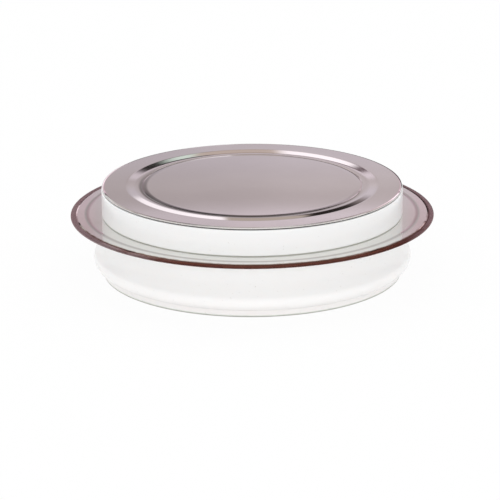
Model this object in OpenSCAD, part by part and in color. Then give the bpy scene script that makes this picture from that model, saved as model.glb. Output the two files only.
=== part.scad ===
// Disc thyristor, a hermetic press-pack capsule. Two stamped lids and two ceramic rings are brazed into
// a base and a cover, which meet at a thin welded flange. Inside, a silicon wafer lies between molybdenum
// discs and copper poles, and a sprung gate contact sits in a well in the lower pole.
// The origin is the middle of the lower face, +Z is up and the gate tube points along +Y.

/* [Housing] */
// Height over the rims of the two lids
housing_h = 20.2; // [19:0.1:24]
// Outer diameter of both ceramic rings
ceramic_d = 67.5; // [64:0.5:72]
// Wall of both ceramic rings
ceramic_wall = 5.25; // [4.5:0.05:6.5]
// Radius on the outer edges of the ceramic rings
ceramic_edge_r = 0.2; // [0.1:0.05:0.4]
// How far the rounded shed stands out from the wall of the lower ceramic
shed_reach = 1.95; // [1.3:0.05:2.5]
// Radius of the shed's round outline
shed_r = 2.2; // [1.8:0.1:3]
// Radius of the long hollow from the shed up to the wall
shed_hollow_r = 8; // [5:0.5:10]
// Radius of the hollow under the shed
shed_fillet_r = 0.3; // [0.2:0.05:0.6]
// Height of the plain foot under the shed
shed_foot = 0.8; // [0.3:0.05:1.2]

/* [Seam flange] */
// Diameter of the welded flange
flange_d = 81.5; // [79:0.5:88]
// Height of the seam between the two flange sheets
seam_z = 13.55; // [12.5:0.05:14.5]
// Thickness of one flange sheet
sheet_t = 0.3; // [0.2:0.05:0.5]
// Width of the lip where the two sheets are pressed together
lip_w = 1.55; // [1.2:0.05:2]
// Depth of the pressing on each face of the lip
lip_press = 0.1; // [0.05:0.01:0.12]
// Width of the slope from the sheet's face down to the lip
lip_slope_w = 0.3; // [0.1:0.05:0.4]
// Distance from the flange's edge in to the middle of the shallow groove pressed into each sheet
ring_line_inset = 3.65; // [3.2:0.05:4.8]
// Width of the groove
ring_line_w = 1.2; // [0.6:0.1:1.8]
// Depth of the groove
ring_line_depth = 0.06; // [0.03:0.01:0.1]
// Step from the bore of the ceramic out to the bore of the flange and the brazed joints
joint_step = 0.3; // [0.1:0.05:0.6]

/* [Lids] */
// How far the lids' edge lies inside the ceramic's
lid_inset = 0.2; // [0.2:0.05:1]
// Thickness of the lid sheet
lid_t = 0.35; // [0.3:0.05:0.8]
// Radius rolled on the outer edge of the lid
lid_edge_r = 0.25; // [0.1:0.05:0.3]
// Width of the bend between the coined groove and the rim
bend_w = 3.2; // [2.6:0.1:3.8]
// Width of the soft curve at the inner end of the bend
inner_bend_w = 1.5; // [1:0.1:2]
// Width of the sharper curve at the outer end of the bend
outer_bend_w = 0.5; // [0.3:0.05:0.6]
// Depth of the contact face below the rim of the lid
recess = 0.2; // [0.1:0.05:0.5]
// Width of the groove coined round the contact face
coin_w = 1; // [0.6:0.1:1.4]
// Depth of the coined groove
coin_depth = 0.12; // [0.05:0.01:0.2]
// Thickness of the brazed joints at the flange
braze_t = 0.1; // [0.1:0.05:0.3]
// Thickness of the brazed joints under the lids
lid_braze_t = 0.2; // [0.1:0.05:0.3]
// How far the brazed joint lies inside the lid's edge
lid_braze_inset = 0.35; // [0.2:0.05:0.6]

/* [Wafer stack] */
// How far the poles lie inside the contact face
pole_inset = 0.2; // [0.1:0.05:0.5]
// Chamfer on the edges of the poles
pole_chamfer = 0.5; // [0.3:0.05:0.8]
// How far the lower molybdenum disc lies inside the lower pole
cathode_inset = 1; // [0.9:0.05:1.5]
// Thickness of the silicon wafer
wafer_t = 0.6; // [0.4:0.05:0.8]
// Overhang of the wafer past the lower molybdenum disc
wafer_overhang = 2.5; // [2:0.1:2.8]
// Width of the bevel ground on the wafer's edge
wafer_bevel = 0.8; // [0.5:0.05:1]
// Thickness of the molybdenum disc above the wafer
upper_molybdenum_t = 2.4; // [1.5:0.1:3]
// Thickness of the molybdenum disc below the wafer
lower_molybdenum_t = 1.6; // [1.4:0.1:2]
// Thickness of each silver foil
foil_t = 0.2; // [0.1:0.05:0.3]
// Thickness of the sealant outside the wafer's edge
sealant_t = 1.2; // [0.8:0.1:1.4]
// How far the sealant hangs below the wafer
sealant_drop = 0.8; // [0.6:0.05:0.9]
// How far the sealant reaches up the molybdenum disc
sealant_rise = 1.4; // [1:0.1:1.6]

/* [Locating ring] */
// Gap between the locating ring and the ceramic, and round the lower molybdenum disc
ring_gap = 0.3; // [0.2:0.05:0.4]
// Thickness of the lip that rests on the lower pole
ring_lip_t = 0.6; // [0.4:0.05:0.7]
// Depth of the skirt round the lower pole
ring_skirt = 4; // [3:0.1:5]
// Height of the collar above the seam
ring_rise = 1.6; // [1:0.1:2]

/* [Gate] */
// Depth of the gate wire below the face of the lower pole
gate_depth = 1.3; // [1.2:0.05:1.6]
// Diameter of the well for the gate contact
gate_well_d = 9; // [8.6:0.1:10]
// Depth of the well
gate_well_depth = 6.4; // [5.8:0.1:7.5]
// Wall of the insulating cup in the well
gate_cup_wall = 0.9; // [0.6:0.05:1]
// Diameter of the gate hole in the lower molybdenum disc and foil
gate_hole_d = 4.8; // [4.4:0.1:5.4]
// Diameter of the pin's stem
gate_stem_d = 2.6; // [2.2:0.1:2.8]
// Diameter of the pin's tip on the wafer
gate_tip_d = 2; // [1.6:0.1:2.2]
// Height of the pin's tapered tip above its guide
gate_tip_h = 0.4; // [0.3:0.05:0.5]
// Thickness of the pin's head
gate_head_t = 0.9; // [0.6:0.05:1]
// How far the pin's head reaches past the middle of the spring's wire
gate_head_rim = 0.6; // [0.4:0.05:0.8]
// Length of the pin's spigot inside the spring
gate_spigot_l = 1; // [0.6:0.05:1.2]
// Diameter of the gate spring at the middle of its wire
gate_spring_d = 4.8; // [4.4:0.1:5]
// Wire diameter of the gate spring
gate_spring_wire_d = 0.5; // [0.4:0.05:0.55]
// Rise of the gate spring in one turn
gate_spring_pitch = 1.15; // [1:0.05:1.4]
// Diameter of the gate wire
gate_wire_d = 1; // [0.8:0.05:1.1]
// Diameter of the wire's eye round the pin
gate_eye_d = 4.6; // [4.2:0.1:5]
// Outer diameter of the insulating sleeve on the wire
gate_sleeve_d = 2; // [1.8:0.05:2.2]
// Gap on each side of the sleeve in its groove
gate_slot_gap = 0.2; // [0.1:0.05:0.4]
// Outer diameter of the gate tube
gate_tube_d = 2.8; // [2.6:0.1:3.4]
// Bore of the gate tube
gate_tube_bore_d = 1.6; // [1.4:0.1:1.8]
// Distance from the flange's edge in to the end of the gate tube
gate_tube_inset = 0.85; // [0.5:0.05:2]
// Length of the solder plug in the end of the gate tube
gate_plug_l = 2.7; // [2:0.1:4]
// How far the plug lies inside the end of the gate tube
gate_plug_dip = 0.3; // [0.1:0.05:0.5]
// Thickness of the solder over the wire's end
gate_plug_cover = 0.7; // [0.4:0.05:1]

/* [Hidden] */
$fn = 96;

// Clearance that lets one round piece drop into another
slip = 0.1;
// A cut reaches this far past the face it opens
past = 1;

// Diameters that follow the ceramic, its bore and the flange
lid_d = ceramic_d - 2 * lid_inset;
shed_d = ceramic_d + 2 * shed_reach;
contact_d = ceramic_d - 2 * ceramic_wall - 2 * bend_w - 2 * coin_w;
ring_line_d = flange_d - 2 * ring_line_inset;

// Radii of the housing
ceramic_r = ceramic_d / 2;
bore_r = ceramic_r - ceramic_wall;
lid_r = lid_d / 2;
contact_r = contact_d / 2;
coin_r = contact_r + coin_w;
flange_r = flange_d / 2;
ring_line_r = ring_line_d / 2;
lip_t = sheet_t - lip_press;
joint_r = bore_r + joint_step;
lid_braze_r = lid_r - lid_braze_inset;
flange_braze_r = ceramic_r - ceramic_edge_r;

// Heights of the housing, from the ground up
lower_ceramic_z0 = lid_t + lid_braze_t;
lower_ceramic_z1 = seam_z - sheet_t - braze_t;
upper_ceramic_z0 = seam_z + sheet_t + braze_t;
upper_ceramic_z1 = housing_h - lid_t - lid_braze_t;

// The shed stands on a plain foot and runs into the wall through a hollow below and a longer one above, which
// ends at the ceramic's upper edge at the latest
shed_c = shed_d / 2 - shed_r;
shed_z = lower_ceramic_z0 + ceramic_edge_r + shed_foot + hollow_rise(shed_fillet_r);
shed_room = lower_ceramic_z1 - ceramic_edge_r - shed_z;
long_hollow_r = min(shed_hollow_r, (pow(shed_room, 2) + pow(shed_reach, 2)) / (2 * shed_reach) - shed_r);

// Heights of the stack: the wafer's upper face lies level with the seam
stack_z0 = recess + lid_t;
stack_z1 = housing_h - stack_z0;
wafer_z = seam_z - wafer_t;
lower_molybdenum_z = wafer_z - lower_molybdenum_t;
pole_top = lower_molybdenum_z - foil_t;
upper_foil_z = seam_z + upper_molybdenum_t;
upper_pole_z = upper_foil_z + foil_t;

// Radii of the stack
pole_r = contact_r - pole_inset;
lower_molybdenum_r = pole_r - cathode_inset;
wafer_r = lower_molybdenum_r + wafer_overhang;
sealant_r = wafer_r + sealant_t;
ring_lip_r = lower_molybdenum_r + ring_gap;

// The gate contact: the cup stands on the well's floor, and the wire's eye lies between pin and collar
gate_z = pole_top - gate_depth;
gate_wire_r = gate_wire_d / 2;
gate_sleeve_r = gate_sleeve_d / 2;
gate_slot_w = gate_sleeve_d + 2 * gate_slot_gap;
gate_well_r = gate_well_d / 2;
gate_well_z = pole_top - gate_well_depth;
gate_cup_r = gate_well_r - slip;
gate_cup_top = gate_z + gate_wire_r + slip;
gate_head_z = gate_z - gate_wire_r;
gate_spring_z0 = gate_well_z + gate_cup_wall;
gate_spring_z1 = gate_head_z - gate_head_t;
gate_spring_r = gate_spring_d / 2;
gate_stem_r = gate_stem_d / 2;
gate_hole_r = gate_hole_d / 2;
gate_guide_top = wafer_z - gate_tip_h;
gate_tube_r = gate_tube_d / 2;
gate_tube_y0 = bore_r - ring_gap + slip;
gate_tube_y1 = flange_r - gate_tube_inset;
gate_plug_y1 = gate_tube_y1 - gate_plug_dip;
gate_plug_y0 = gate_plug_y1 - gate_plug_l;
gate_wire_y1 = gate_plug_y1 - gate_plug_cover;

// Points along an arc about c
function arc(c, r, a0, a1, steps = 10) =
    [for (i = [0:steps]) let (a = a0 + (a1 - a0) * i / steps) c + r * [cos(a), sin(a)]];

// A hollow of radius r between wall and shed: how far its centre lies out from the shed's, how far it lies
// above or below it, and the angle at which the two curves meet
function hollow_reach(r) = shed_r + r - shed_reach;
function hollow_rise(r) = sqrt(pow(shed_r + r, 2) - pow(hollow_reach(r), 2));
function hollow_turn(r) = atan2(hollow_rise(r), hollow_reach(r));

// Height of a lid's bend, from 0 to 1, at a distance x from the coined groove. Its slope grows over the inner
// curve, stays and ends over the outer curve.
function bend_rise(x) =
    let (early = min(x, inner_bend_w), late = max(x - bend_w + outer_bend_w, 0))
    (pow(early, 2) / (2 * inner_bend_w) + x - early - pow(late, 2) / (2 * outer_bend_w))
    / (bend_w - inner_bend_w / 2 - outer_bend_w / 2);

// Ring of rectangular section
module ring(r_in, r_out, z0, z1) {
    translate([0, 0, z0])
    difference() {
        cylinder(r = r_out, h = z1 - z0);
        translate([0, 0, -past]) cylinder(r = r_in, h = z1 - z0 + 2 * past);
    }
}

// Round bar or hole along +Y at the height of the gate lead
module along_gate(r, y0, y1) {
    translate([0, y0, gate_z]) rotate([-90, 0, 0]) cylinder(r = r, h = y1 - y0);
}

// Slot along +Y, open between two heights
module gate_slot(y0, y1, z0, z1) {
    translate([-gate_slot_w / 2, y0, z0]) cube([gate_slot_w, y1 - y0, z1 - z0]);
}

// Lid stamped from sheet, its rim at z = 0: a shallow contact face in a coined groove, a bend and a flat rim
// with a rolled edge
module lid() {
    coin_steps = 8;
    bend_steps = 12;
    coin = [for (i = [0:coin_steps]) let (t = i / coin_steps)
            [contact_r + coin_w * t, -recess - coin_depth * pow(sin(180 * t), 2)]];
    bend = [for (i = [1:bend_steps]) let (x = bend_w * i / bend_steps)
            [coin_r + x, recess * (bend_rise(x) - 1)]];
    face = concat([[0, -recess]], coin, bend);
    edge = arc([lid_r - lid_edge_r, -lid_edge_r], lid_edge_r, 90, 0);
    under = [for (i = [len(face) - 1:-1:0]) face[i] - [0, lid_t]];
    rotate_extrude()
    polygon(concat(face, edge, [[lid_r, -lid_t]], under));
}

module top_lid() {
    color([0.72, 0.67, 0.70]) translate([0, 0, housing_h]) lid();
}

module bottom_lid() {
    color([0.72, 0.67, 0.70]) mirror([0, 0, 1]) lid();
}

module top_lid_braze() {
    color([0.45, 0.42, 0.40]) ring(joint_r, lid_braze_r, upper_ceramic_z1, housing_h - lid_t);
}

module bottom_lid_braze() {
    color([0.45, 0.42, 0.40]) ring(joint_r, lid_braze_r, lid_t, lower_ceramic_z0);
}

module upper_flange_braze() {
    color([0.60, 0.60, 0.56]) ring(joint_r, flange_braze_r, seam_z + sheet_t, upper_ceramic_z0);
}

module lower_flange_braze() {
    color([0.60, 0.60, 0.56]) ring(joint_r, flange_braze_r, lower_ceramic_z1, seam_z - sheet_t);
}

module upper_ceramic() {
    edge_c = ceramic_r - ceramic_edge_r;
    color([0.96, 0.96, 0.95])
    rotate_extrude()
    polygon(concat(
        [[bore_r, upper_ceramic_z0]],
        arc([edge_c, upper_ceramic_z0 + ceramic_edge_r], ceramic_edge_r, -90, 0, 4),
        arc([edge_c, upper_ceramic_z1 - ceramic_edge_r], ceramic_edge_r, 0, 90, 4),
        [[bore_r, upper_ceramic_z1]]));
}

// The taller ring with its shed, drilled at the back for the gate tube
module lower_ceramic() {
    edge_c = ceramic_r - ceramic_edge_r;
    under = hollow_turn(shed_fillet_r);
    under_c = [ceramic_r + shed_fillet_r, shed_z - hollow_rise(shed_fillet_r)];
    over = hollow_turn(long_hollow_r);
    over_c = [ceramic_r + long_hollow_r, shed_z + hollow_rise(long_hollow_r)];
    color([0.96, 0.96, 0.95])
    difference() {
        rotate_extrude()
        polygon(concat(
            [[bore_r, lower_ceramic_z0]],
            arc([edge_c, lower_ceramic_z0 + ceramic_edge_r], ceramic_edge_r, -90, 0, 4),
            arc(under_c, shed_fillet_r, 180, 180 - under, 4),
            arc([shed_c, shed_z], shed_r, -under, over, 20),
            arc(over_c, long_hollow_r, 180 + over, 180),
            arc([edge_c, lower_ceramic_z1 - ceramic_edge_r], ceramic_edge_r, 0, 90, 4),
            [[bore_r, lower_ceramic_z1]]));
        along_gate(gate_tube_r, bore_r - past, shed_d / 2 + past);
    }
}

// One sheet of the flange on its seam face, with the shallow groove, the pressed lip and a rounded rim
module flange_sheet() {
    groove_r = (pow(ring_line_w / 2, 2) + pow(ring_line_depth, 2)) / (2 * ring_line_depth);
    groove_turn = asin(ring_line_w / 2 / groove_r);
    groove_c = [ring_line_r, sheet_t - ring_line_depth + groove_r];
    rotate_extrude()
    polygon(concat(
        [[joint_r, 0]],
        arc([flange_r - lip_t, 0], lip_t, 0, 90, 6),
        [[flange_r - lip_w, lip_t], [flange_r - lip_w - lip_slope_w, sheet_t]],
        arc(groove_c, groove_r, groove_turn - 90, -groove_turn - 90, 8),
        [[joint_r, sheet_t]]));
}

module upper_flange() {
    color([0.74, 0.69, 0.69]) translate([0, 0, seam_z]) flange_sheet();
}

module lower_flange() {
    color([0.48, 0.32, 0.26]) translate([0, 0, seam_z]) mirror([0, 0, 1]) flange_sheet();
}

// Copper disc with chamfered edges
module pole(z0, z1) {
    translate([0, 0, z0])
    rotate_extrude()
    polygon([[0, 0], [pole_r - pole_chamfer, 0], [pole_r, pole_chamfer], [pole_r, z1 - z0 - pole_chamfer],
             [pole_r - pole_chamfer, z1 - z0], [0, z1 - z0]]);
}

module upper_pole() {
    color([0.80, 0.50, 0.36]) pole(upper_pole_z, stack_z1);
}

module lower_pole() {
    color([0.80, 0.50, 0.36])
    difference() {
        pole(stack_z0, pole_top);
        translate([0, 0, gate_well_z]) cylinder(r = gate_well_r, h = gate_well_depth + past);
        gate_slot(0, pole_r + past, gate_z - gate_sleeve_r, pole_top + past);
    }
}

module upper_foil() {
    color([0.90, 0.90, 0.90]) translate([0, 0, upper_foil_z]) cylinder(r = pole_r - pole_chamfer, h = foil_t);
}

module lower_foil() {
    color([0.90, 0.90, 0.90]) ring(gate_hole_r, lower_molybdenum_r, pole_top, lower_molybdenum_z);
}

module upper_molybdenum() {
    color([0.55, 0.56, 0.60]) translate([0, 0, seam_z]) cylinder(r = wafer_r, h = upper_molybdenum_t);
}

module lower_molybdenum() {
    color([0.55, 0.56, 0.60]) ring(gate_hole_r, lower_molybdenum_r, lower_molybdenum_z, wafer_z);
}

// The wafer's edge is ground to a bevel, so its lower face is the smaller one
module silicon_wafer() {
    color([0.30, 0.31, 0.36])
    translate([0, 0, wafer_z]) cylinder(r1 = wafer_r - wafer_bevel, r2 = wafer_r, h = wafer_t);
}

// Rubber cast round the wafer's bevel and the edge of the disc above it
module edge_sealant() {
    below = wafer_z - sealant_drop;
    above = seam_z + sealant_rise;
    color([0.75, 0.30, 0.26])
    rotate_extrude()
    polygon([[ring_lip_r, below], [sealant_r, below], [sealant_r, above], [wafer_r, above], [wafer_r, seam_z],
             [wafer_r - wafer_bevel, wafer_z], [ring_lip_r, wafer_z]]);
}

// Plastic ring that hangs by its inner lip on the lower pole and centres the stack in the ceramic
module locating_ring() {
    collar_r = sealant_r + slip;
    outer_r = bore_r - ring_gap;
    lip_top = pole_top + ring_lip_t;
    skirt_z = pole_top - ring_skirt;
    collar_top = seam_z + ring_rise;
    color([0.93, 0.92, 0.88])
    difference() {
        rotate_extrude()
        polygon([[ring_lip_r, pole_top], [pole_r + slip, pole_top], [pole_r + slip, skirt_z],
                 [outer_r, skirt_z], [outer_r, collar_top], [collar_r, collar_top], [collar_r, lip_top],
                 [ring_lip_r, lip_top]]);
        gate_slot(pole_r, bore_r, skirt_z - past, gate_z + gate_sleeve_r + slip);
    }
}

// Insulating cup in the well, notched for the wire
module gate_cup() {
    color([0.94, 0.93, 0.88])
    difference() {
        translate([0, 0, gate_well_z]) cylinder(r = gate_cup_r, h = gate_cup_top - gate_well_z);
        translate([0, 0, gate_spring_z0]) cylinder(r = gate_cup_r - gate_cup_wall, h = gate_well_depth);
        gate_slot(0, gate_well_r, gate_z - gate_sleeve_r, pole_top);
    }
}

// Coil spring with closed ends, swept along its helix
module gate_spring() {
    sides = 8;
    steps = 24;
    closed_turns = 0.4;
    wire_r = gate_spring_wire_d / 2;
    corner_r = wire_r / cos(180 / sides);
    travel = gate_spring_z1 - gate_spring_z0 - 2 * wire_r;
    active_turns = travel / gate_spring_pitch;
    rings = ceil(steps * (active_turns + 2 * closed_turns));
    points = [for (i = [0:rings]) for (k = [0:sides - 1])
              let (turn = 360 * i / steps,
                   lift = min(max((i / steps - closed_turns) / active_turns, 0), 1),
                   side = 360 * (k + 0.5) / sides,
                   r = gate_spring_r + corner_r * cos(side))
              [r * cos(turn), r * sin(turn), gate_spring_z0 + wire_r + travel * lift + corner_r * sin(side)]];
    walls = [for (i = [0:rings - 1]) for (k = [0:sides - 1])
             let (a = i * sides + k, b = i * sides + (k + 1) % sides)
             [a, a + sides, b + sides, b]];
    first_end = [for (k = [0:sides - 1]) k];
    last_end = [for (k = [sides - 1:-1:0]) rings * sides + k];
    color([0.70, 0.71, 0.73])
    polyhedron(points, concat(walls, [first_end, last_end]));
}

// Turned contact: a spigot inside the spring, a head above it and a stem that reaches the wafer
module gate_pin() {
    spigot_r = gate_spring_r - gate_spring_wire_d;
    spigot_z = gate_spring_z1 - gate_spigot_l;
    head_r = gate_spring_r + gate_head_rim;
    color([0.83, 0.72, 0.45])
    rotate_extrude()
    polygon([[0, spigot_z], [spigot_r, spigot_z], [spigot_r, gate_spring_z1], [head_r, gate_spring_z1],
             [head_r, gate_head_z], [gate_stem_r, gate_head_z], [gate_stem_r, gate_guide_top],
             [gate_tip_d / 2, wafer_z], [0, wafer_z]]);
}

// Insulating collar on the cup's rim that keeps the pin clear of the molybdenum
module gate_collar() {
    bore = gate_stem_r + slip;
    guide_r = gate_hole_r - slip;
    flange_top = pole_top - slip;
    color([0.94, 0.93, 0.88])
    rotate_extrude()
    polygon([[bore, gate_cup_top], [gate_cup_r, gate_cup_top], [gate_cup_r, flange_top],
             [guide_r, flange_top], [guide_r, gate_guide_top], [bore, gate_guide_top]]);
}

// Wire with an eye round the pin's stem
module gate_lead() {
    eye_r = gate_eye_d / 2;
    color([0.82, 0.55, 0.40])
    difference() {
        union() {
            translate([0, 0, gate_head_z]) cylinder(r = eye_r, h = gate_wire_d);
            along_gate(gate_wire_r, eye_r - gate_wire_r, gate_wire_y1);
        }
        translate([0, 0, gate_head_z - past])
        cylinder(r = gate_stem_r + slip / 2, h = gate_wire_d + 2 * past);
    }
}

module gate_sleeve() {
    sleeve_y0 = gate_well_r + slip;
    sleeve_y1 = gate_tube_y0 - slip;
    color([0.95, 0.95, 0.92])
    difference() {
        along_gate(gate_sleeve_r, sleeve_y0, sleeve_y1);
        along_gate(gate_wire_r, sleeve_y0 - past, sleeve_y1 + past);
    }
}

module gate_tube() {
    color([0.72, 0.70, 0.68])
    difference() {
        along_gate(gate_tube_r, gate_tube_y0, gate_tube_y1);
        along_gate(gate_tube_bore_d / 2, gate_tube_y0 - past, gate_tube_y1 + past);
    }
}

// Solder that fills the outer end of the tube round the wire
module gate_plug() {
    color([0.66, 0.66, 0.65])
    difference() {
        along_gate(gate_tube_bore_d / 2, gate_plug_y0, gate_plug_y1);
        along_gate(gate_wire_r, gate_plug_y0 - past, gate_wire_y1);
    }
}

top_lid();
top_lid_braze();
upper_ceramic();
upper_flange_braze();
upper_flange();
lower_flange();
lower_flange_braze();
lower_ceramic();
bottom_lid_braze();
bottom_lid();
upper_pole();
upper_foil();
upper_molybdenum();
silicon_wafer();
edge_sealant();
lower_molybdenum();
lower_foil();
lower_pole();
locating_ring();
gate_cup();
gate_spring();
gate_pin();
gate_collar();
gate_lead();
gate_sleeve();
gate_tube();
gate_plug();
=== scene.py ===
import math

import bpy
from mathutils import Matrix, Quaternion, Vector


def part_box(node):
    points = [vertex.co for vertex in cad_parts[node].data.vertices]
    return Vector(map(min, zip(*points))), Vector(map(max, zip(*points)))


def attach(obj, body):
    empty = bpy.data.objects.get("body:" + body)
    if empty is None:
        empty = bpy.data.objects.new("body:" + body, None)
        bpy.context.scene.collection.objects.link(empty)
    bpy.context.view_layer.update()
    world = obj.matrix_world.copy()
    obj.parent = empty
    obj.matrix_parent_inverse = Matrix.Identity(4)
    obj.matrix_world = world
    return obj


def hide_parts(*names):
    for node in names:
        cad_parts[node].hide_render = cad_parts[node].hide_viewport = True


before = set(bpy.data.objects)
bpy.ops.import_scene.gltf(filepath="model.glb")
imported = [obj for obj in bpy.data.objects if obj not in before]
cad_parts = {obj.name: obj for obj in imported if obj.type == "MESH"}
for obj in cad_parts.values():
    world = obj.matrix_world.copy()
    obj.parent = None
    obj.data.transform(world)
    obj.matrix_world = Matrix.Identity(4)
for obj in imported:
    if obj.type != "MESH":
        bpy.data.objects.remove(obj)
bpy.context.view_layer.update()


# Camera: a long lens about 17 degrees above the table, so that the capsule looks flat and wide.
# It is turned a hair clockwise, as a camera held in the hand is.
target, distance = Vector((0, 0, 0.01039)), 0.611
elevation, roll = math.radians(17.28), -0.0046
toward = Vector((0, math.cos(elevation), -math.sin(elevation)))
camera = bpy.data.objects.new("camera", bpy.data.cameras.new("camera"))
camera.location = target - toward * distance
camera.rotation_mode = "QUATERNION"
camera.rotation_quaternion = toward.to_track_quat("-Z", "Y") @ Quaternion((0, 0, 1), roll)
camera.data.sensor_width = 36
camera.data.lens = 195.4
camera.data.shift_x = -0.0045
camera.data.shift_y = -0.0494
camera.data.clip_start = 0.01
bpy.context.scene.collection.objects.link(camera)
bpy.context.scene.camera = camera
bpy.context.scene.view_settings.view_transform = "Standard"


# Table: one wide white sheet of paper under the capsule, lit to plain white.
# The eye and the bright metal both see it white, and it still takes the capsule's soft shadow.
table_side, paper_white, glow_share = 3, (0.93, 0.93, 0.93, 1), 0.93


def add(tree, kind, **settings):
    """A new node with its settings."""
    made = tree.nodes.new(kind)
    for name, value in settings.items():
        setattr(made, name, value)
    return made


def fill(socket, value):
    """Links a socket to a socket, or sets it to a plain value."""
    if isinstance(value, bpy.types.NodeSocket):
        socket.id_data.links.new(value, socket)
    else:
        socket.default_value = value


def math_node(tree, operation, a, b=0.0, c=0.0):
    made = add(tree, "ShaderNodeMath", operation=operation)
    for socket, value in zip(made.inputs, (a, b, c)):
        fill(socket, value)
    return made.outputs[0]


def mixed_shader(tree, share, first, second):
    made = add(tree, "ShaderNodeMixShader")
    for socket, value in zip(made.inputs, (share, first, second)):
        fill(socket, value)
    return made.outputs[0]


def mesh_piece(name, points, faces):
    mesh = bpy.data.meshes.new(name)
    mesh.from_pydata(points, [], faces)
    piece = bpy.data.objects.new(name, mesh)
    bpy.context.scene.collection.objects.link(piece)
    return piece


paper = bpy.data.materials.new("white_paper")
paper.use_nodes = True
tree = paper.node_tree
tree.nodes.clear()
ray = add(tree, "ShaderNodeLightPath").outputs
seen = math_node(tree, "MAXIMUM", ray["Is Camera Ray"], ray["Is Glossy Ray"])
seen = math_node(tree, "MAXIMUM", seen, ray["Is Transmission Ray"])
matt = add(tree, "ShaderNodeBsdfDiffuse")
matt.inputs["Color"].default_value = paper_white
glow = add(tree, "ShaderNodeEmission")
glowing = math_node(tree, "MULTIPLY", seen, glow_share)
lit_paper = mixed_shader(tree, glowing, matt.outputs[0], glow.outputs[0])
fill(add(tree, "ShaderNodeOutputMaterial").inputs[0], lit_paper)
corners = ((-1, -1), (1, -1), (1, 1), (-1, 1))
table = mesh_piece("table", [(x * table_side, y * table_side, 0) for x, y in corners], [(0, 1, 2, 3)])
table.data.materials.append(paper)


# Studio: soft boxes in front and above, and a room with light and dark bands along its walls on every side.
# The lamps stay out of mirror reflections, so that the bright metal shows the bands, whose heights are
# angles above the table in radians.
def softbox(name, place, size, watts):
    lamp = bpy.data.objects.new(name, bpy.data.lights.new(name, "AREA"))
    lamp.data.shape = "RECTANGLE"
    lamp.data.size, lamp.data.size_y = size
    lamp.data.energy = watts
    lamp.location = place
    lamp.rotation_mode = "QUATERNION"
    lamp.rotation_quaternion = (target - lamp.location).to_track_quat("-Z", "Y")
    lamp.visible_glossy = False
    bpy.context.scene.collection.objects.link(lamp)


softbox("front_softbox", place=Vector((0, -1.4, 0.3)), size=(2.8, 0.6), watts=4.4)
softbox("top_softbox", place=Vector((0, 0.1, 1.5)), size=(1.6, 1.6), watts=1.0)


def bands(tree, value, top, *stops):
    """Colours by a height from 0 to the top, from pairs of height and linear colour."""
    ramp = add(tree, "ShaderNodeValToRGB")
    fill(ramp.inputs[0], math_node(tree, "DIVIDE", value, top))
    made = ramp.color_ramp.elements
    while len(made) < len(stops):
        made.new(0.5)
    for stop, (level, colour) in zip(made, stops):
        stop.position = level / top
        stop.color = (*colour, 1)
    return ramp.outputs[0]


def axes_of(tree, vector):
    """The X, Y and Z outputs of a vector."""
    made = add(tree, "ShaderNodeSeparateXYZ")
    fill(made.inputs[0], vector)
    return made.outputs


room = bpy.data.worlds.new("studio")
bpy.context.scene.world = room
room.use_nodes = True
tree = room.node_tree
tree.nodes.clear()
way = axes_of(tree, add(tree, "ShaderNodeTexCoord").outputs["Generated"])
angle_up = math_node(tree, "ARCSINE", way["Z"])
low_dark, low_light = (0.08, 0.06, 0.06), (1.05, 1.0, 1.02)
high_dark, high_light = (0.10, 0.08, 0.08), (1.0, 0.97, 0.97)
walls = bands(tree, angle_up, math.pi / 2,
              (0.0, (0.90, 0.88, 0.88)), (0.155, (1.1, 1.04, 1.07)),
              (0.178, low_dark), (0.190, low_dark),
              (0.215, (0.60, 0.545, 0.575)), (0.345, (0.57, 0.51, 0.53)),
              (0.365, low_dark), (0.380, low_dark),
              (0.405, low_light), (0.435, low_light),
              (0.475, (0.60, 0.55, 0.56)), (0.67, (0.55, 0.51, 0.51)),
              (0.70, high_dark), (0.72, high_dark),
              (0.745, high_light), (0.79, high_light),
              (0.84, (0.58, 0.55, 0.54)), (1.03, (0.58, 0.54, 0.53)),
              (1.14, (0.36, 0.33, 0.32)), (1.30, (1.0, 0.99, 0.97)))
ray = add(tree, "ShaderNodeLightPath").outputs
plain_light = add(tree, "ShaderNodeBackground")
plain_light.inputs["Color"].default_value = (1, 1, 1, 1)
mirrored = add(tree, "ShaderNodeBackground")
fill(mirrored.inputs["Color"], walls)
in_mirror = math_node(tree, "GREATER_THAN", ray["Is Glossy Ray"], ray["Diffuse Depth"])
room_light = mixed_shader(tree, in_mirror, plain_light.outputs[0], mirrored.outputs[0])
fill(add(tree, "ShaderNodeOutputWorld").inputs[0], room_light)


# Reflector: an upright board behind the table, with pale, tan and dark cards pinned to it.
# Only mirror reflections show it, so the bends in the bright metal draw their light and dark streaks.
# From here on, sizes and heights are in millimetres.
MM = 0.001
board_y, board_side, board_top = 420, 200, 340
black, tan, white, mint = (0.02, 0.016, 0.015), (0.47, 0.40, 0.355), (1.2, 1.12, 1.17), (0.75, 0.85, 0.78)
umber, plum, dusk, pink = (0.40, 0.33, 0.30), (0.13, 0.09, 0.10), (0.22, 0.18, 0.18), (1.07, 0.94, 0.985)
sand, clay, grey, warm_grey = (0.58, 0.48, 0.43), (0.54, 0.44, 0.40), (0.45, 0.42, 0.40), (0.45, 0.40, 0.38)
board_end = (330, (0.40, 0.36, 0.35))
haze = ((127, (0.62, 0.56, 0.60)), (134, (0.615, 0.555, 0.60)), (143, (0.585, 0.52, 0.535)),
        (149, (0.53, 0.465, 0.475)), (152, (0.55, 0.485, 0.50)), (156, (0.75, 0.665, 0.72)),
        (162, (0.74, 0.65, 0.70)))


def place_in_mm(tree):
    """Where a point lies on its piece, in millimetres."""
    scaled = add(tree, "ShaderNodeVectorMath", operation="SCALE")
    fill(scaled.inputs[0], add(tree, "ShaderNodeTexCoord").outputs["Object"])
    scaled.inputs["Scale"].default_value = 1 / MM
    return scaled.outputs[0]


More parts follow.
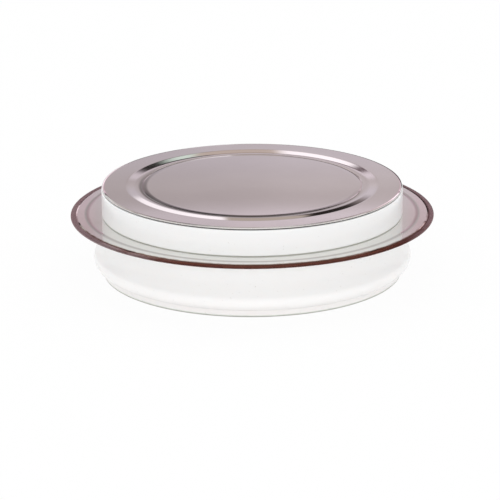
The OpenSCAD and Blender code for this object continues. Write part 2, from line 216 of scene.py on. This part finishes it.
def between(tree, value, first, last, start=0.0, end=1.0, kind="LINEAR"):
    """Goes from a first to a last number as the value goes from start to end."""
    made = add(tree, "ShaderNodeMapRange", interpolation_type=kind)
    for socket, given in zip(made.inputs[:5], (value, start, end, first, last)):
        fill(socket, given)
    return made.outputs[0]


def away(tree, value, middle):
    """Distance of a value from a middle value."""
    return math_node(tree, "ABSOLUTE", math_node(tree, "SUBTRACT", value, middle))


def blended(tree, share, first, second, kind="MIX"):
    """Two linear colours or colour sockets, mixed by a share."""
    made = add(tree, "ShaderNodeMix", data_type="RGBA", blend_type=kind)
    fill(made.inputs["Factor"], share)
    for socket, colour in zip(made.inputs[6:8], (first, second)):
        fill(socket, colour if isinstance(colour, bpy.types.NodeSocket) else (*colour, 1))
    return made.outputs[2]


corners = ((-board_side, 0), (board_side, 0), (board_side, board_top), (-board_side, board_top))
board = mesh_piece("reflector_board", [(x * MM, board_y * MM, z * MM) for x, z in corners], [(0, 1, 2, 3)])
cards = bpy.data.materials.new("pinned_cards")
cards.use_nodes = True
tree = cards.node_tree
tree.nodes.clear()
spot = axes_of(tree, place_in_mm(tree))
side, height = spot["X"], spot["Z"]
left_card = bands(tree, height, board_top, (0, black), (62, black), (70, white), (120, white), *haze,
                  (169, black), (179, black), (186, mint), (216, mint), (235, grey), board_end)
middle_card = bands(tree, height, board_top, (0, black), (62, black), (68, tan), (120, tan), *haze,
                    (169, umber), (180, umber), (190, sand), (216, clay), (235, warm_grey), board_end)
right_card = bands(tree, height, board_top, (0, black), (108, black), (117, dusk), *haze,
                   (166, plum), (170, plum), (176, white), (216, white), (235, warm_grey), board_end)
soft = "SMOOTHSTEP"
shown = left_card
for card, lean, seam_start, seam_end in ((middle_card, 0.043, -4.5, -2.0), (right_card, 0.081, 19.8, 23.4)):
    seam_side = math_node(tree, "MULTIPLY_ADD", height, lean, side)
    shown = blended(tree, between(tree, seam_side, 0, 1, seam_start, seam_end, kind=soft), shown, card)
side_out = math_node(tree, "ABSOLUTE", side)
wing_x, haze_z = 45.0, 142.0
wing = between(tree, away(tree, side_out, wing_x), 0, 1, start=18.0, end=12.0, kind=soft)
outside_haze = between(tree, away(tree, height, haze_z), 0, 1, start=19.5, end=23.5, kind=soft)
shown = blended(tree, math_node(tree, "MULTIPLY", wing, outside_haze), shown, black)
rightward = between(tree, side, 0.95, 1.13, start=-wing_x, end=wing_x, kind=soft)
far_right = between(tree, side, 1.0, 0.92, start=52.0, end=66.0, kind=soft)
for strength in (rightward, far_right):
    shown = blended(tree, 1.0, shown, strength, "MULTIPLY")
rosy = blended(tree, 1.0, shown, pink, "MULTIPLY")
shown = blended(tree, between(tree, side_out, 0, 1, start=57.0, end=65.0, kind=soft), shown, rosy)
bounces = add(tree, "ShaderNodeLightPath").outputs["Diffuse Depth"]
glow = add(tree, "ShaderNodeEmission")
fill(glow.inputs["Color"], blended(tree, math_node(tree, "MINIMUM", bounces, 1.0), shown, (1, 1, 1)))
fill(add(tree, "ShaderNodeOutputMaterial").inputs[0], glow.outputs[0])
board.data.materials.append(cards)
board.visible_camera = board.visible_diffuse = board.visible_shadow = False
board.visible_transmission = board.visible_volume_scatter = False


# Bottom lid: copper sheet stamped with a shallow round contact face and plated with satin nickel.
# It is brazed to the end of the lower ceramic and makes the cathode contact.
contact_r, coin_w, bend_w = 23.0, 1.9, 3.6
lid_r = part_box("top_lid")[1].x / MM
streak_r, polished_r = contact_r + 1.45, contact_r + coin_w + bend_w * 0.6
burnish_start_r, burnish_end_r = 33.05, 33.2
round_segments, sharp_angle = 288, math.radians(38)


def arc(middle, radius, start, end, steps):
    """Points of a section along an arc, angles in degrees."""
    angles = [math.radians(start + (end - start) * i / steps) for i in range(steps + 1)]
    return [(middle[0] + radius * math.cos(a), middle[1] + radius * math.sin(a)) for a in angles]


def shored(points, gap=0.03, shortest=0.2):
    """The section with extra points close to both ends of each long straight, so that flats shade flat."""
    made = []
    for a, b in zip(points, points[1:]):
        made.append(a)
        length = math.dist(a, b)
        if length > shortest:
            for t in (gap / length, 1 - gap / length):
                made.append((a[0] + (b[0] - a[0]) * t, a[1] + (b[1] - a[1]) * t))
    return made + [points[-1]]


def revolve_tree(weld=1e-6):
    """Turns the section's points round the Z axis."""
    tree = bpy.data.node_groups.new("revolved_section", "GeometryNodeTree")
    ports = tree.interface
    ports.new_socket("Section", in_out="INPUT", socket_type="NodeSocketGeometry")
    ports.new_socket("Segments", in_out="INPUT", socket_type="NodeSocketInt")
    ports.new_socket("Finish", in_out="INPUT", socket_type="NodeSocketMaterial")
    ports.new_socket("Piece", in_out="OUTPUT", socket_type="NodeSocketGeometry")
    given = add(tree, "NodeGroupInput")
    size = add(tree, "GeometryNodeAttributeDomainSize", component="MESH")
    fill(size.inputs[0], given.outputs["Section"])
    count = size.outputs["Point Count"]
    sheet = add(tree, "GeometryNodeMeshGrid")
    fill(sheet.inputs["Vertices X"], math_node(tree, "ADD", given.outputs["Segments"], 1.0))
    fill(sheet.inputs["Vertices Y"], count)
    index = add(tree, "GeometryNodeInputIndex").outputs[0]
    turn = math_node(tree, "FLOOR", math_node(tree, "DIVIDE", index, count))
    point = add(tree, "GeometryNodeSampleIndex", data_type="FLOAT_VECTOR", domain="POINT")
    fill(point.inputs["Geometry"], given.outputs["Section"])
    fill(point.inputs["Value"], add(tree, "GeometryNodeInputPosition").outputs[0])
    fill(point.inputs["Index"], math_node(tree, "MODULO", index, count))
    sampled = axes_of(tree, point.outputs["Value"])
    share = math_node(tree, "DIVIDE", turn, given.outputs["Segments"])
    angle = math_node(tree, "MULTIPLY", share, math.tau)
    place = add(tree, "ShaderNodeCombineXYZ")
    fill(place.inputs["X"], math_node(tree, "MULTIPLY", sampled["X"], math_node(tree, "COSINE", angle)))
    fill(place.inputs["Y"], math_node(tree, "MULTIPLY", sampled["X"], math_node(tree, "SINE", angle)))
    fill(place.inputs["Z"], sampled["Z"])
    moved = add(tree, "GeometryNodeSetPosition")
    fill(moved.inputs["Geometry"], sheet.outputs["Mesh"])
    fill(moved.inputs["Position"], place.outputs[0])
    closed = add(tree, "GeometryNodeMergeByDistance")
    fill(closed.inputs["Geometry"], moved.outputs[0])
    closed.inputs["Distance"].default_value = weld
    smooth = add(tree, "GeometryNodeSetShadeSmooth")
    fill(smooth.inputs["Geometry"], closed.outputs[0])
    real = add(tree, "GeometryNodeRealizeInstances")
    fill(real.inputs[0], smooth.outputs[0])
    coated = add(tree, "GeometryNodeSetMaterial")
    fill(coated.inputs["Geometry"], real.outputs[0])
    fill(coated.inputs["Material"], given.outputs["Finish"])
    fill(add(tree, "NodeGroupOutput").inputs[0], coated.outputs[0])
    return tree


revolved = revolve_tree()


def revolve(name, section, segments, finish):
    """A round mesh from its section in millimetres, listed anticlockwise, kept as a plain mesh."""
    piece = mesh_piece(name, [(r * MM, 0, z * MM) for r, z in shored(section)], [])
    settings = {"Segments": segments, "Finish": finish}
    nodes = piece.modifiers.new("nodes", "NODES")
    nodes.node_group = revolved
    for item in revolved.interface.items_tree:
        if item.in_out == "INPUT" and item.name in settings:
            nodes[item.identifier] = settings[item.name]
    bpy.context.view_layer.update()
    ready = piece.evaluated_get(bpy.context.evaluated_depsgraph_get())
    mesh = bpy.data.meshes.new_from_object(ready)
    piece.modifiers.remove(nodes)
    piece.data = mesh
    mesh.name = name
    mesh.materials.clear()
    mesh.materials.append(finish)
    mesh.polygons.foreach_set("material_index", [0] * len(mesh.polygons))
    return piece


def turned(name, section, finish, slot, *nodes):
    """A round piece in place of its CAD nodes."""
    piece = revolve(name, section, round_segments, finish)
    piece.data.set_sharp_from_angle(angle=sharp_angle)
    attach(piece, "root")
    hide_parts(*nodes)
    return piece


def surface(name, colour, metallic, roughness):
    """A new finish with its shader, its place on the piece in millimetres, and its tree."""
    made = bpy.data.materials.new(name)
    made.use_nodes = True
    made.diffuse_color = (*colour, 1)
    shader = made.node_tree.nodes["Principled BSDF"]
    shader.inputs["Base Color"].default_value = (*colour, 1)
    shader.inputs["Metallic"].default_value = metallic
    shader.inputs["Roughness"].default_value = roughness
    return made, shader, place_in_mm(made.node_tree), made.node_tree


def grain(tree, place, scale, detail=3.0, stretch=(1, 1, 1)):
    """Soft noise over the piece, stretched along each axis by its share."""
    drawn = add(tree, "ShaderNodeMapping")
    fill(drawn.inputs["Vector"], place)
    drawn.inputs["Scale"].default_value = stretch
    noise = add(tree, "ShaderNodeTexNoise")
    fill(noise.inputs["Vector"], drawn.outputs[0])
    noise.inputs["Scale"].default_value = scale
    noise.inputs["Detail"].default_value = detail
    return noise.outputs["Fac"]


def dented(tree, shader, value, strength, depth):
    """Fine relief, its depth in millimetres."""
    bump = add(tree, "ShaderNodeBump")
    bump.inputs["Strength"].default_value = strength
    bump.inputs["Distance"].default_value = depth * MM
    fill(bump.inputs["Height"], value)
    fill(shader.inputs["Normal"], bump.outputs[0])


def from_axis(tree, place):
    """Distance from the capsule's axis in millimetres."""
    flat = add(tree, "ShaderNodeVectorMath", operation="MULTIPLY")
    fill(flat.inputs[0], place)
    flat.inputs[1].default_value = (1, 1, 0)
    span = add(tree, "ShaderNodeVectorMath", operation="LENGTH")
    fill(span.inputs[0], flat.outputs[0])
    return span.outputs["Value"]


def near(tree, value, middle, full, reach):
    """1 within a distance of a middle value, falling to 0 at its reach."""
    return between(tree, away(tree, value, middle), 1, 0, full, reach)


def lid_section(face, facing):
    """Section of a lid whose rim lies at the height of its face, which looks up (1) or down (-1)."""
    sheet, edge_w, edge_h, lift, lift_w = 0.35, 0.55, 0.2, 0.1, 0.9
    recess, fall, fall_w, coin_depth, soft_w, sharp_w = 0.2, 0.009, 1.3, 0.03, 1.6, 0.4
    coin_steps, bend_steps, edge_steps = 16, 48, 16

    def rise(x):
        """Height of the bend: its slope grows over a soft inner part and ends at a sharper outer corner."""
        late = max(x - bend_w + sharp_w, 0)
        early = min(x, soft_w)
        return ((early ** 2 / (2 * soft_w) + x - early - late ** 2 / (2 * sharp_w))
                / (bend_w - soft_w / 2 - sharp_w / 2))

    shares = [i / coin_steps for i in range(coin_steps + 1)]
    dip = [(contact_r + fall_w * t, -recess - fall * t ** 2) for t in shares[:-1]]
    coin = [(contact_r + fall_w + (coin_w - fall_w) * t,
             -recess - fall * (1 - t) - coin_depth * math.sin(math.pi * t) ** 2) for t in shares]
    bend_places = [bend_w * i / bend_steps for i in range(1, bend_steps + 1)]
    bend = [(contact_r + coin_w + x, recess * (rise(x) - 1)) for x in bend_places]
    upper = [(0, -recess), *dip, *coin, *bend]
    edge = [(lid_r + edge_w * (r - 1), edge_h * (z - 1)) for r, z in arc((0, 0), 1, 90, 0, edge_steps)]
    lifted = [(lid_r, lift - sheet), (lid_r - lift_w, -sheet)]
    loop = [*upper, *edge, *lifted, *((r, z - sheet) for r, z in reversed(upper))]
    loop = [(r, face + facing * z) for r, z in loop]
    return loop[::-1] if facing > 0 else loop


nickel, shader, place, tree = surface("satin_nickel", (0.70, 0.67, 0.66), metallic=1.0, roughness=0.05)
dark_plate, light_plate, polished_plate = (0.68, 0.65, 0.64), (0.72, 0.69, 0.68), (0.86, 0.83, 0.83)
painted_streak_brown, burnished_edge = (0.05, 0.038, 0.035), (0.92, 0.91, 0.89)
polish_share, streak_lean, streak_spread = 0.5, 0.45, 16.0
rolled = grain(tree, place, scale=2.2, stretch=(0.12, 3.0, 1.0))
clouds = grain(tree, place, scale=0.06, detail=2.0)
radius = from_axis(tree, place)
plate = blended(tree, between(tree, clouds, 0, 1, start=0.35, end=0.65), dark_plate, light_plate)
polish = math_node(tree, "MULTIPLY", near(tree, radius, polished_r, full=0.5, reach=1.3), polish_share)
plate = blended(tree, polish, plate, polished_plate)
spot = axes_of(tree, place)
# Painted dark streak: a dark ring round the groove outside the contact face, heaviest towards the front,
# standing in for a dark reflection and the shade in the groove.
streak_side = math_node(tree, "MULTIPLY_ADD", spot["X"], streak_lean, spot["Y"])
streak_side = math_node(tree, "MULTIPLY_ADD", grain(tree, place, scale=0.05), streak_spread, streak_side)
painted_streak = math_node(tree, "MULTIPLY", near(tree, radius, streak_r, full=0.6, reach=1.15),
                  between(tree, streak_side, 0.97, 0.0, start=-12.0, end=14.0))
plate = blended(tree, painted_streak, plate, painted_streak_brown)
burnished = between(tree, radius, 0, 1, burnish_start_r, burnish_end_r)
fill(shader.inputs["Base Color"], blended(tree, burnished, plate, burnished_edge))
fill(shader.inputs["Roughness"], between(tree, rolled, 0.035, 0.055, start=0.3, end=0.7))
dented(tree, shader, rolled, strength=0.01, depth=0.01)
bottom_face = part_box("bottom_lid")[0].z / MM
turned("bottom_lid_stamping", lid_section(bottom_face, -1), nickel, "lid_nickel", "bottom_lid")


# Brazed joints: thin rings of silver-copper braze that join lids, ceramics and flanges.
# Three came out clean and the one under the top lid dull, and each shows as a fine line.
ring_bore_r, foot_flush = 28.8, 0.35
lid_braze_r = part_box("top_lid_braze")[1].x / MM
flange_braze_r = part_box("upper_flange_braze")[1].x / MM


def ring_section(outer, node):
    low, high = (corner.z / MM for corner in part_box(node))
    return [(ring_bore_r, low), (outer, low), (outer, high), (ring_bore_r, high), (ring_bore_r, low)]


def braze_finish(name, dark, light):
    made, shader, place, tree = surface(name, light, metallic=1.0, roughness=0.5)
    beads = grain(tree, place, scale=1.5)
    fill(shader.inputs["Base Color"], blended(tree, beads, dark, light))
    fill(shader.inputs["Roughness"], between(tree, beads, 0.4, 0.65))
    return made


dull_braze = braze_finish("dull_braze", (0.07, 0.065, 0.06), (0.14, 0.13, 0.12))
clean_braze = braze_finish("clean_braze", (0.78, 0.82, 0.74), (0.88, 0.91, 0.84))
for node, outer, finish in (("bottom_lid_braze", lid_braze_r + foot_flush, clean_braze),
                            ("lower_flange_braze", flange_braze_r, clean_braze),
                            ("upper_flange_braze", flange_braze_r, clean_braze),
                            ("top_lid_braze", lid_braze_r, dull_braze)):
    turned(node + "_ring", ring_section(outer, node), finish, "braze", node)


# Lower ceramic: the taller ring of pressed alumina with one rounded shed, glazed white and fired.
# The shed lengthens the way over its surface between cathode and anode.
wall_r, bore_r, ceramic_edge_r = 33.75, 28.5, 0.2
shed_r, shed_reach, hollow_r, long_hollow_r, foot = 2.2, 1.95, 0.3, 8.0, 0.8


def ceramic_ends(low, high):
    """Rounded outer edges of a ceramic ring, bottom then top."""
    middle = wall_r - ceramic_edge_r
    return (arc((middle, low + ceramic_edge_r), ceramic_edge_r, -90, 0, steps=6),
            arc((middle, high - ceramic_edge_r), ceramic_edge_r, 0, 90, steps=6))


def hollow_at(radius):
    """Distance out, height and angle of the hollow of a radius that joins wall and shed."""
    out = shed_r + radius - shed_reach
    up = math.sqrt((shed_r + radius) ** 2 - out ** 2)
    return wall_r + radius, up, math.degrees(math.atan2(up, out))


glaze, shader, place, tree = surface("white_glaze", (0.93, 0.925, 0.92), metallic=0.0, roughness=0.30)
clear_white, cloud_white, speck_brown = (0.975, 0.972, 0.968), (0.962, 0.956, 0.95), (0.55, 0.50, 0.45)
upper_ring_dimmed_white, foot_shade_white = (0.905, 0.903, 0.902), (0.955, 0.928, 0.916)
cloudy = grain(tree, place, scale=0.12, detail=4.0)
specks = grain(tree, place, scale=2.5, detail=1.0)
tint = blended(tree, between(tree, cloudy, 0, 1, start=0.35, end=0.7), clear_white, cloud_white)
height = axes_of(tree, place)["Z"]
# Painted light: the upper ring gets a darker white than the lower one, so that the lower ring, shaded under
# the flange, renders as bright as the upper.
tint = blended(tree, between(tree, height, 0, 1, start=14.0, end=18.0), tint, upper_ring_dimmed_white)
# Painted shade: towards the foot the white turns darker and warmer, standing in for the shade and warm
# bounce off the table there.
tint = blended(tree, between(tree, height, 1, 0, start=1.0, end=5.0), tint, foot_shade_white)
tint = blended(tree, between(tree, specks, 0, 0.5, start=0.74, end=0.8), tint, speck_brown)
fill(shader.inputs["Base Color"], tint)
shader.inputs["Coat Weight"].default_value = 0.4
shader.inputs["Coat Roughness"].default_value = 0.12
shader.inputs["Subsurface Weight"].default_value = 0.15
shader.inputs["Subsurface Radius"].default_value = (0.0012, 0.001, 0.0009)
shader.inputs["Subsurface Scale"].default_value = 1.0
fill(shader.inputs["Roughness"], between(tree, cloudy, 0.24, 0.36))
dented(tree, shader, grain(tree, place, scale=0.5, detail=2.0), strength=0.15, depth=0.05)

low, high = (corner.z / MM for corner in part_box("lower_ceramic"))
low_edge, high_edge = ceramic_ends(low, high)
under_x, under_rise, under = hollow_at(hollow_r)
over_x, over_rise, over = hollow_at(long_hollow_r)
shed_x = wall_r + shed_reach - shed_r
shed_z = low + ceramic_edge_r + foot + under_rise
shed = [*arc((under_x, shed_z - under_rise), hollow_r, 180, 180 - under, steps=8),
        *arc((shed_x, shed_z), shed_r, -under, over, steps=60),
        *arc((over_x, shed_z + over_rise), long_hollow_r, 180 + over, 180, steps=30)]
turned("lower_ceramic_ring", [(bore_r, low), *low_edge, *shed, *high_edge, (bore_r, high), (bore_r, low)],
       glaze, "white_ceramic", "lower_ceramic")


# Lower flange: a thin ring of nickel-plated copper sheet, brazed to the lower ceramic.
# Its lip is pressed to bare copper where the two sheets are cold-welded, and the cut edge has gone brown.
flange_r, flange_sheet, press, lip_w, lip_slope = 40.735, 0.3, 0.1, 1.2, 0.3
line_r, line_w, line_depth, line_steps = 37.1, 1.2, 0.012, 24
browning_shade_start_r, browning_shade_end_r = 39.55, 40.05
lip_start_r, step_shadow_r, cut_edge_r = 39.4, 39.55, 40.75


def flange_section(seam, facing):
    """Section of a sheet that lies above (1) or below (-1) the height of the welded seam."""
    groove = [(line_r + line_w * (0.5 - t), flange_sheet - line_depth * math.sin(math.pi * t) ** 2)
              for t in (i / line_steps for i in range(line_steps + 1))]
    lip_h = flange_sheet - press
    loop = [(ring_bore_r, 0), *arc((flange_r - lip_h, 0), lip_h, 0, 90, steps=10),
            (flange_r - lip_w, lip_h), (flange_r - lip_w - lip_slope, flange_sheet), *groove,
            (ring_bore_r, flange_sheet), (ring_bore_r, 0)]
    loop = [(r, seam + facing * z) for r, z in loop]
    return loop if facing > 0 else loop[::-1]


flange_colour, lip_colour = (0.72, 0.66, 0.645), (0.52, 0.43, 0.44)
flange_nickel, shader, place, tree = surface("bright_nickel", flange_colour, metallic=1.0, roughness=0.07)
dark_sheet, light_sheet = (0.765, 0.765, 0.735), (0.805, 0.805, 0.775)
line_shade, browning_and_shade_brown = (0.30, 0.26, 0.25), (0.17, 0.08, 0.055)
line_shade_share, browning_shade_spread, front_shade_lean = 0.6, 0.8, -0.014
radius = from_axis(tree, place)
smears = grain(tree, place, scale=0.15)
plated = blended(tree, between(tree, smears, 0, 1, start=0.3, end=0.7), dark_sheet, light_sheet)
# Painted shade: a darker ring along the pressed line, standing in for the shade in its groove, which the
# mesh keeps very shallow.
painted_line_shade = math_node(tree, "MULTIPLY", near(tree, radius, line_r, full=0.2, reach=0.7), line_shade_share)
plated = blended(tree, painted_line_shade, plated, line_shade)
# Brown by the lip: real browning of the copper there, and painted shade where it reaches further in towards
# the front.
ragged = grain(tree, place, scale=0.6, detail=4.0)
browning_and_shade_reach = math_node(tree, "MULTIPLY_ADD", ragged, browning_shade_spread, radius)
browning_and_shade_reach = math_node(tree, "MULTIPLY_ADD", axes_of(tree, place)["Y"], front_shade_lean, browning_and_shade_reach)
browning_and_shade = between(tree, browning_and_shade_reach, 0, 0.95, browning_shade_start_r, browning_shade_end_r)
fill(shader.inputs["Base Color"], blended(tree, browning_and_shade, plated, browning_and_shade_brown))
fill(shader.inputs["Roughness"], between(tree, smears, 0.05, 0.09, start=0.3, end=0.7))
dented(tree, shader, grain(tree, place, scale=1.2, detail=2.0), strength=0.03, depth=0.01)

copper_lip, shader, place, tree = surface("browned_copper", lip_colour, metallic=1.0, roughness=0.25)
shader.inputs["Specular Tint"].default_value = (0.5, 0.42, 0.42, 1)
step_shadow_brown, cut_edge_and_shade_brown = (0.10, 0.05, 0.04), (0.085, 0.042, 0.045)
lip_shade_spread, lip_shade_left_lean = 24.0, -0.6
patina = grain(tree, place, scale=0.25, detail=5.0)
pressed = blended(tree, patina, (0.46, 0.36, 0.37), (0.60, 0.51, 0.52))
oxide_and_shade_brown = blended(tree, patina, (0.13, 0.045, 0.03), (0.20, 0.085, 0.062))
spot = axes_of(tree, place)
# Painted shade over real oxide: the lip turns dark brown towards the front, less on the left, standing in
# for the dark reflection there.
lip_shade_side = math_node(tree, "MULTIPLY_ADD", patina, lip_shade_spread, spot["Y"])
left_of_middle = math_node(tree, "MINIMUM", spot["X"], 0.0)
lip_shade_side = math_node(tree, "MULTIPLY_ADD", left_of_middle, lip_shade_left_lean, lip_shade_side)
tone = blended(tree, between(tree, lip_shade_side, 1, 0, start=-14.0, end=6.0), pressed, oxide_and_shade_brown)
radius = from_axis(tree, place)
# Painted shadow: a dark brown line where the pressed lip begins, heavier on the right, standing in for the
# step's shadow.
painted_step_shadow = math_node(tree, "MULTIPLY", near(tree, radius, step_shadow_r, full=0.12, reach=0.35),
                     between(tree, spot["X"], 0.05, 0.65, start=-36.0, end=0.0))
tone = blended(tree, painted_step_shadow, tone, step_shadow_brown)
# Cut edge: real browning of the cut copper, painted darker towards the front as shade.
cut_edge_shade = math_node(tree, "MULTIPLY", near(tree, radius, cut_edge_r, full=0.15, reach=0.4),
                     between(tree, spot["Y"], 0.45, 0, start=-26.0, end=-8.0))
fill(shader.inputs["Base Color"], blended(tree, cut_edge_shade, tone, cut_edge_and_shade_brown))
fill(shader.inputs["Roughness"], between(tree, patina, 0.2, 0.34))
dented(tree, shader, patina, strength=0.1, depth=0.02)


def lipped(piece):
    """Gives the pressed lip of a flange sheet its own finish."""
    piece.data.materials.append(copper_lip)
    for face in piece.data.polygons:
        face.material_index = int(face.center.xy.length > lip_start_r * MM)


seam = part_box("lower_flange")[1].z / MM
lower_sheet = flange_section(seam, -1)
lipped(turned("lower_flange_sheet", lower_sheet, flange_nickel, "flange_nickel", "lower_flange"))


# Gate inlet: a nickel tube brazed through the back of the lower ceramic and closed with solder.
# The braze has drawn up into a small fillet round the tube. Inside, the sleeved wire runs to a
# sprung gate pin that stands in an insulating cup.
fillet_r, fillet_sunk, fillet_overlap, fillet_segments = 0.6, 0.4, 0.1, 72
tube_low, tube_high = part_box("gate_tube")
tube_r, tube_z = (tube_high.x - tube_low.x) / 2 / MM, (tube_high.z + tube_low.z) / 2 / MM
wall_y = over_x - math.sqrt(long_hollow_r ** 2 - max(shed_z + over_rise - tube_z, 0) ** 2)


def dress(finish, *nodes):
    """Gives CAD nodes their finish."""
    for node in nodes:
        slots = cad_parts[node].data.materials
        slots.clear()
        slots.append(finish)


def metal(name, dark, light, roughness, scale, stretch=(1, 1, 1)):
    made, shader, place, tree = surface(name, light, metallic=1.0, roughness=roughness)
    mottle = grain(tree, place, scale, detail=4.0, stretch=stretch)
    fill(shader.inputs["Base Color"], blended(tree, mottle, dark, light))
    fill(shader.inputs["Roughness"], between(tree, mottle, roughness * 0.8, roughness * 1.3))
    dented(tree, shader, mottle, strength=0.08, depth=0.02)
    return made


def moulded(name, dark, light, roughness, scale):
    made, shader, place, tree = surface(name, light, metallic=0.0, roughness=roughness)
    mottle = grain(tree, place, scale, detail=4.0)
    fill(shader.inputs["Base Color"], blended(tree, mottle, dark, light))
    fill(shader.inputs["Roughness"], between(tree, mottle, roughness * 0.85, roughness * 1.2))
    dented(tree, shader, mottle, strength=0.1, depth=0.03)
    return made


drawn_nickel = metal("drawn_nickel_tube", (0.48, 0.46, 0.43), (0.62, 0.60, 0.57), roughness=0.3, scale=1.6,
                     stretch=(1, 0.15, 1))
dress(drawn_nickel, "gate_tube")
inlet_braze = braze_finish("inlet_braze", (0.50, 0.49, 0.46), (0.68, 0.67, 0.63))
fillet_bore_r, fillet_outer_r = tube_r - fillet_overlap, tube_r + fillet_r
drawn_up = [(fillet_bore_r, -fillet_sunk), (fillet_outer_r, -fillet_sunk),
            *arc((fillet_outer_r, fillet_r), fillet_r, 270, 180, steps=10),
            (fillet_bore_r, fillet_r), (fillet_bore_r, -fillet_sunk)]
fillet = revolve("gate_tube_fillet", drawn_up, fillet_segments, inlet_braze)
out_of_wall = Matrix.Rotation(-math.pi / 2, 4, "X")
fillet.data.transform(Matrix.Translation((0, wall_y * MM, tube_z * MM)) @ out_of_wall)
fillet.data.set_sharp_from_angle(angle=sharp_angle)
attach(fillet, "root")
dress(metal("dull_solder", (0.36, 0.36, 0.35), (0.52, 0.52, 0.50), roughness=0.5, scale=1.2), "gate_plug")
turned_copper = metal("turned_copper", (0.62, 0.24, 0.13), (0.80, 0.38, 0.24), roughness=0.28, scale=1.4)
dress(turned_copper, "gate_lead")
dress(metal("gold_plate", (0.80, 0.56, 0.22), (0.90, 0.68, 0.32), roughness=0.2, scale=1.5), "gate_pin")
dress(metal("spring_wire", (0.38, 0.38, 0.39), (0.52, 0.52, 0.54), roughness=0.3, scale=2.0), "gate_spring")
fluoroplastic = moulded("white_fluoroplastic", (0.80, 0.78, 0.72), (0.88, 0.87, 0.82),
                        roughness=0.45, scale=0.8)
dress(fluoroplastic, "gate_cup", "gate_collar", "gate_sleeve")


# Wafer stack: copper poles, silver foils and molybdenum discs on both sides of the silicon wafer.
# Nothing is soldered here: the clamp's force presses the stack together, and a plastic ring centres it.
dress(turned_copper, "lower_pole", "upper_pole")
silver = metal("silver_foil", (0.84, 0.82, 0.78), (0.93, 0.91, 0.88), roughness=0.22, scale=0.9)
dress(silver, "lower_foil", "upper_foil")
molybdenum = metal("ground_molybdenum", (0.24, 0.25, 0.27), (0.34, 0.35, 0.38), roughness=0.3, scale=1.8,
                   stretch=(0.2, 2, 1))
dress(molybdenum, "lower_molybdenum", "upper_molybdenum")
silicon = metal("polished_silicon", (0.10, 0.10, 0.13), (0.16, 0.17, 0.20), roughness=0.1, scale=0.7)
dress(silicon, "silicon_wafer")
rubber = moulded("red_silicone_rubber", (0.42, 0.07, 0.05), (0.52, 0.10, 0.07), roughness=0.5, scale=0.9)
dress(rubber, "edge_sealant")
dress(fluoroplastic, "locating_ring")


# Upper flange: the matching sheet, brazed to the upper ceramic and welded to the lower one at its lip.
# A fine line is pressed round both sheets outside the ceramic.
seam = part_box("upper_flange")[0].z / MM
upper_sheet = flange_section(seam, 1)
lipped(turned("upper_flange_sheet", upper_sheet, flange_nickel, "flange_nickel", "upper_flange"))


# Upper ceramic: the short ring of pressed and glazed alumina between the flange and the top lid.
# It is brazed at both ends, like the lower one, and its plain wall needs no shed.
low, high = (corner.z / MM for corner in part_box("upper_ceramic"))
low_edge, high_edge = ceramic_ends(low, high)
turned("upper_ceramic_ring", [(bore_r, low), *low_edge, *high_edge, (bore_r, high), (bore_r, low)],
       glaze, "white_ceramic", "upper_ceramic")


# Top lid: the same stamping as the bottom lid, turned over, with its contact face up.
# It closes the capsule and makes the anode contact.
top_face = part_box("top_lid")[1].z / MM
turned("top_lid_stamping", lid_section(top_face, 1), nickel, "lid_nickel", "top_lid")
